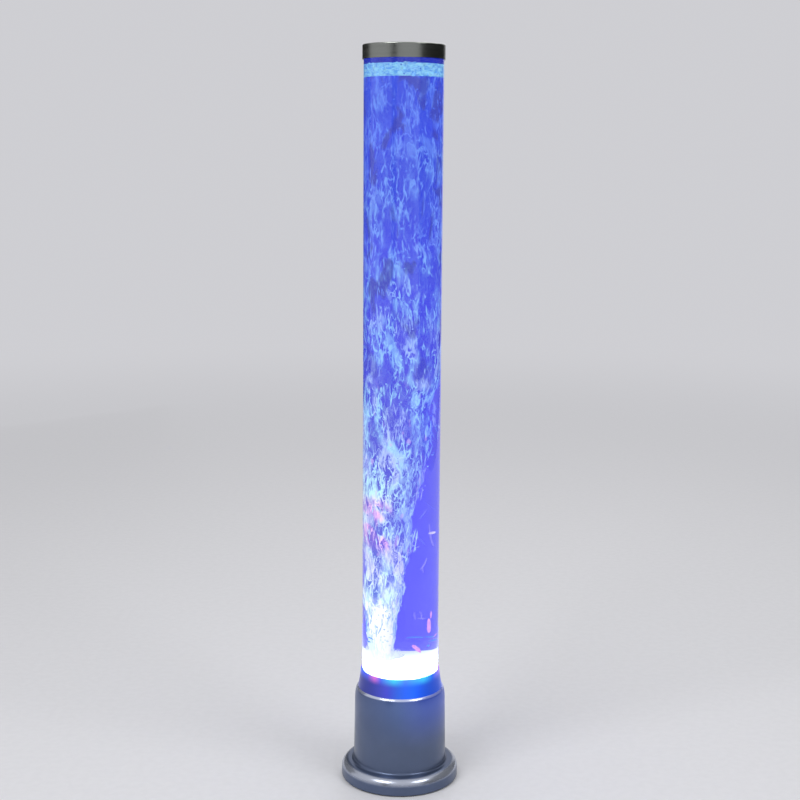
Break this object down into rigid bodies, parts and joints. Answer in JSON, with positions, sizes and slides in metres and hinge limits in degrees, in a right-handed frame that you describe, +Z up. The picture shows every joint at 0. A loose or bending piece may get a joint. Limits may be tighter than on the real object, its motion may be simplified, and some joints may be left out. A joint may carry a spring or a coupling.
{
  "type": "bubble tube floor lamp",
  "caption": "Tall clear water-filled bubble tube on a round silver base with a metal cap, a rear push button and a DC inlet, and a diaphragm air pump and LED ring in the base.",
  "frame": {"origin": "on the floor, under the tube's axis", "axes": "+Z up along the tube, -Y the front, +Y the rear with the button and the inlet"},
  "size_m": [0.154, 0.154, 0.951],
  "materials": {
    "silver_plastic": "satin silver moulding",
    "brushed_aluminium": "brushed",
    "clear_acrylic": "polished clear",
    "water": "lit from below",
    "bubbles": "bubbly water, lit from below",
    "black_plastic": "moulded",
    "white_plastic": "moulded",
    "pump_plastic": "moulded",
    "black_rubber": "soft",
    "hose_rubber": "translucent silicone",
    "steel": "plated",
    "core_iron": "laminated",
    "copper": "enamelled wire",
    "ferrite": "ground",
    "circuit_board": "lacquered",
    "led_package": "lit",
    "component_black": "epoxy",
    "capacitor_sleeve": "sleeved can",
    "cable": "insulated",
    "stone": "porous"
  },
  "bodies": {
    "lamp": {"base_shell": "silver_plastic", "tube_collar": "silver_plastic", "tube": "clear_acrylic", "tube_floor": "clear_acrylic", "water_column": "water", "bubble_column": "bubbles", "bottom_cover": "black_plastic", "dc_jack": "black_plastic", "mode_switch": "black_plastic", "board_connectors": "white_plastic", "pump_case": "pump_plastic", "pump_lid": "pump_plastic", "valve_head": "pump_plastic", "check_valve_body": "pump_plastic", "check_valve_cap": "pump_plastic", "air_nozzle": "pump_plastic", "rubber_feet": "black_rubber", "pump_grommets": "black_rubber", "pump_diaphragm": "black_rubber", "valve_flaps": "black_rubber", "tube_gasket": "black_rubber", "nozzle_seal": "black_rubber", "hose_lower": "hose_rubber", "hose_upper": "hose_rubber", "bottom_screws": "steel", "collar_screws": "steel", "led_board_screws": "steel", "pump_screws": "steel", "post_screws": "steel", "board_screws": "steel", "pump_pivot": "steel", "jack_nut": "steel", "nozzle_nut": "steel", "pump_core": "core_iron", "pump_coil": "copper", "led_board": "circuit_board", "control_board": "circuit_board", "leds": "led_package", "board_chips": "component_black", "board_capacitors": "capacitor_sleeve", "jack_lead": "cable", "pump_lead": "cable", "led_lead": "cable", "air_stone": "stone"},
    "cap": {"top_cap": "brushed_aluminium", "cap_insert": "white_plastic", "cap_seal": "black_rubber"},
    "button": {"mode_button": "black_plastic", "switch_plunger": "black_plastic"},
    "lever": {"pump_arm": "white_plastic", "pump_magnets": "ferrite"},
    "valve_disc": {"check_valve_disc": "black_rubber"}
  },
  "joints": [
    {"name": "cap_lift", "type": "slide", "parent": "lamp", "child": "cap", "axis": [0, 0, 1], "range_m": [0, 0.06]},
    {"name": "mode_button_press", "type": "slide", "parent": "lamp", "child": "button", "axis": [0, -1, 0], "range_m": [0, 0.0012], "stiffness_N_per_m": 800},
    {"name": "pump_arm_swing", "type": "hinge", "parent": "lamp", "child": "lever", "pos_m": [-0.033, 0, 0.024], "axis": [0, 1, 0], "range_deg": [-1.5, 1.5], "stiffness_Nm_per_rad": 2, "deforming": ["pump_diaphragm"]},
    {"name": "check_valve_lift", "type": "slide", "parent": "lamp", "child": "valve_disc", "axis": [0, 0, 1], "range_m": [0, 0.0012]}
  ]
}
